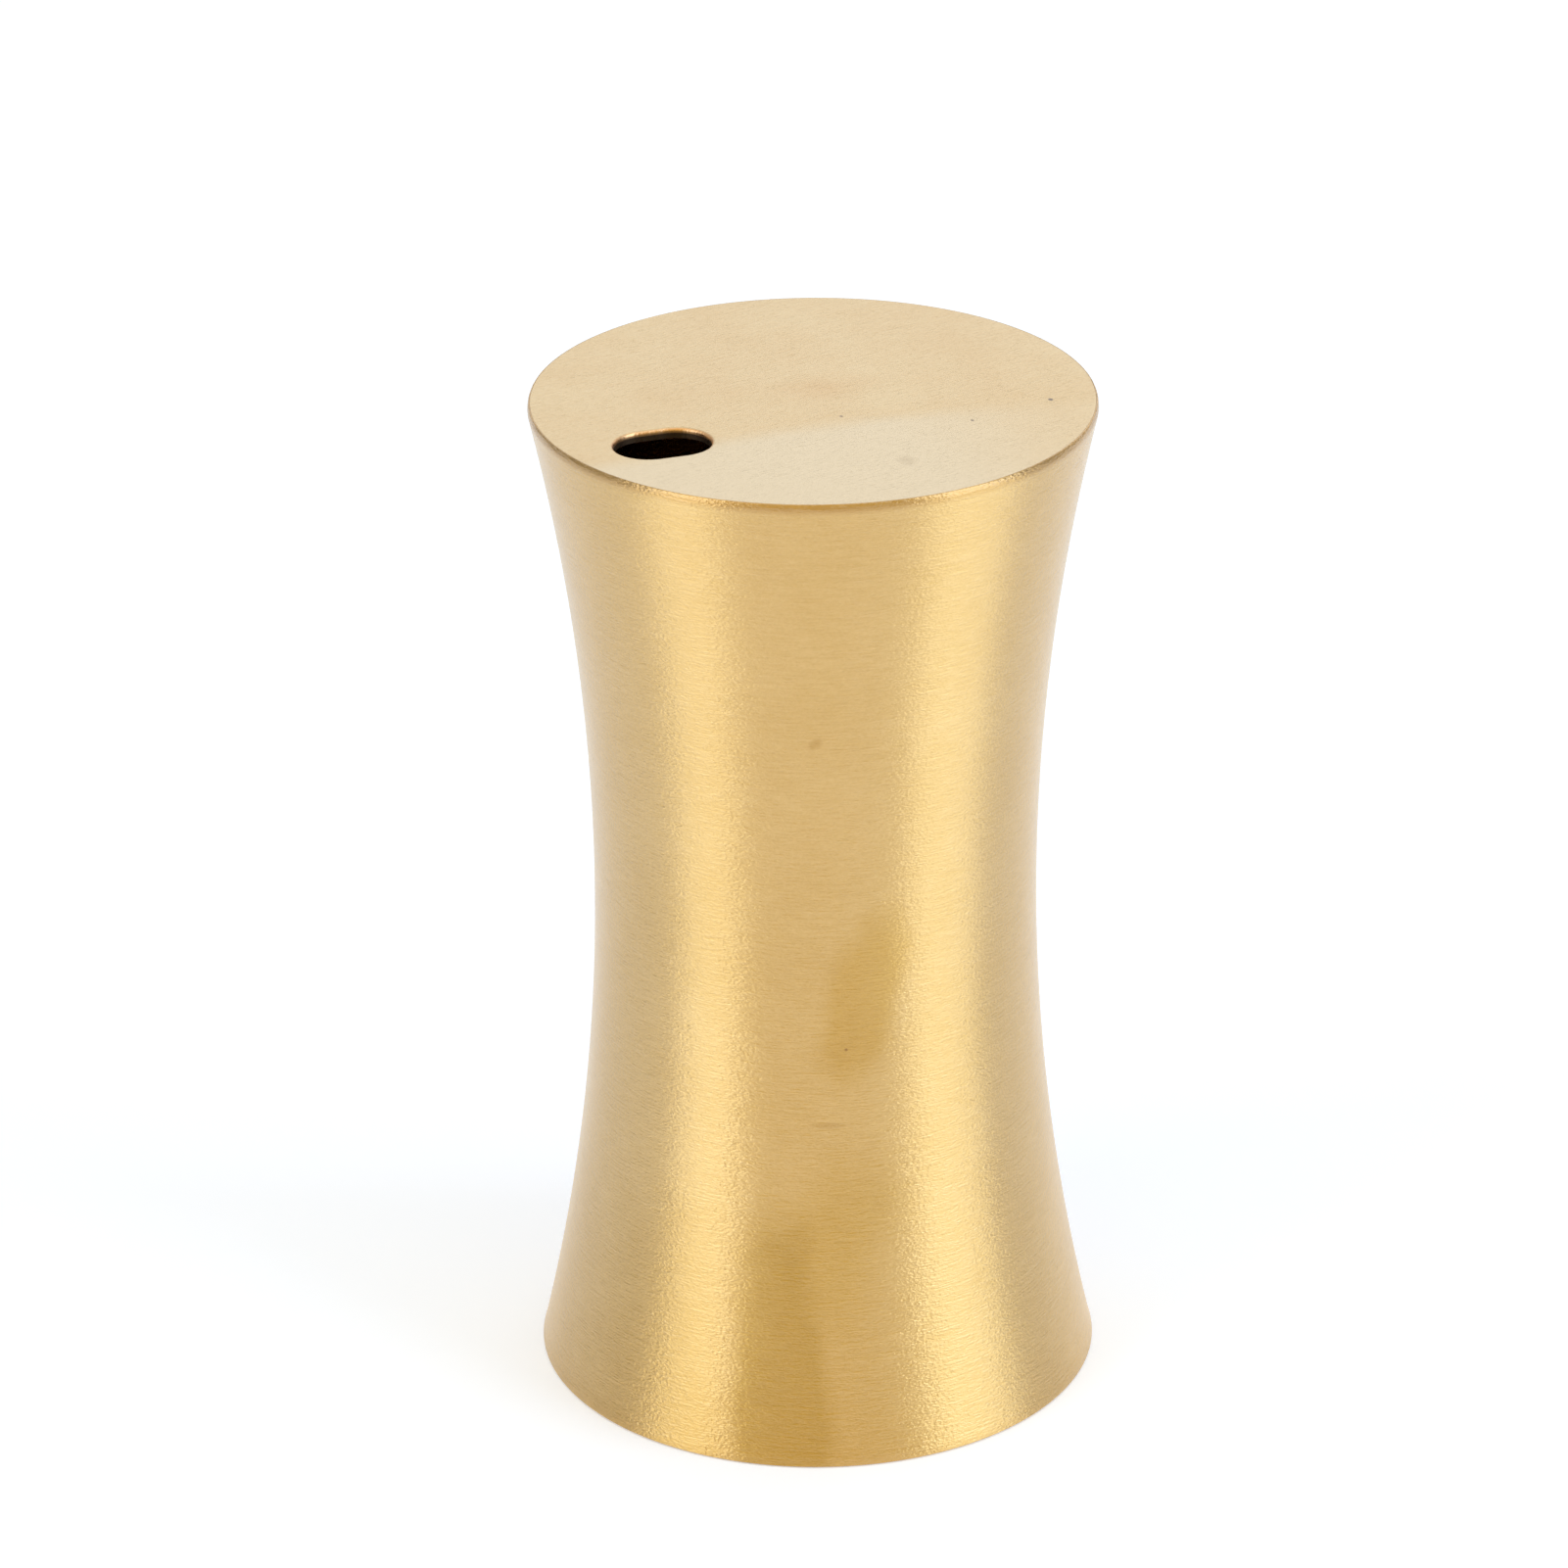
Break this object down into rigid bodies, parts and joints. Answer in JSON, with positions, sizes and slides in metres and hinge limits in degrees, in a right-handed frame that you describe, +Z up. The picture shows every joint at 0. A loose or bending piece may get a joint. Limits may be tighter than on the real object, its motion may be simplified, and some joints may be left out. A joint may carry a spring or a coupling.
{
  "type": "toothpick dispenser",
  "caption": "Waisted round toothpick dispenser in brushed gold-coloured sheet steel, with a pill-shaped slot near the edge of its flat top and a screw-in cap in its foot.",
  "frame": {"origin": "on the table, at the middle of the foot", "axes": "+Z up along the body's axis; +X along the long side of the slot in the top, which lies at -X, -Y"},
  "size_m": [0.0438, 0.0438, 0.08],
  "materials": {
    "shell_steel": "gold-coloured stainless steel, brushed round the body",
    "plate_steel": "gold-coloured stainless steel, brushed straight across",
    "ring_plastic": "moulded black plastic",
    "foot_silicone": "matt grey silicone",
    "cap_plastic": "moulded black plastic",
    "gasket_silicone": "translucent white silicone"
  },
  "bodies": {
    "root": {"waist_shell": "shell_steel", "top_plate": "plate_steel", "base_ring": "ring_plastic", "foot_ring": "foot_silicone"},
    "gasket": {"cap_gasket": "gasket_silicone"},
    "cap": {"base_cap": "cap_plastic"}
  },
  "joints": [
    {"name": "cap_travel", "type": "slide", "parent": "root", "child": "gasket", "axis": [0, 0, -1], "range_m": [0, 0.00875]},
    {"name": "cap_turn", "type": "hinge", "parent": "gasket", "child": "cap", "pos_m": [0, 0, 0.0008], "axis": [0, 0, -1], "range_deg": [0, 1260]}
  ],
  "couplings": [
    {"joint": "cap_travel", "follows": "cap_turn", "m_per_rad": 0.00039789}
  ]
}
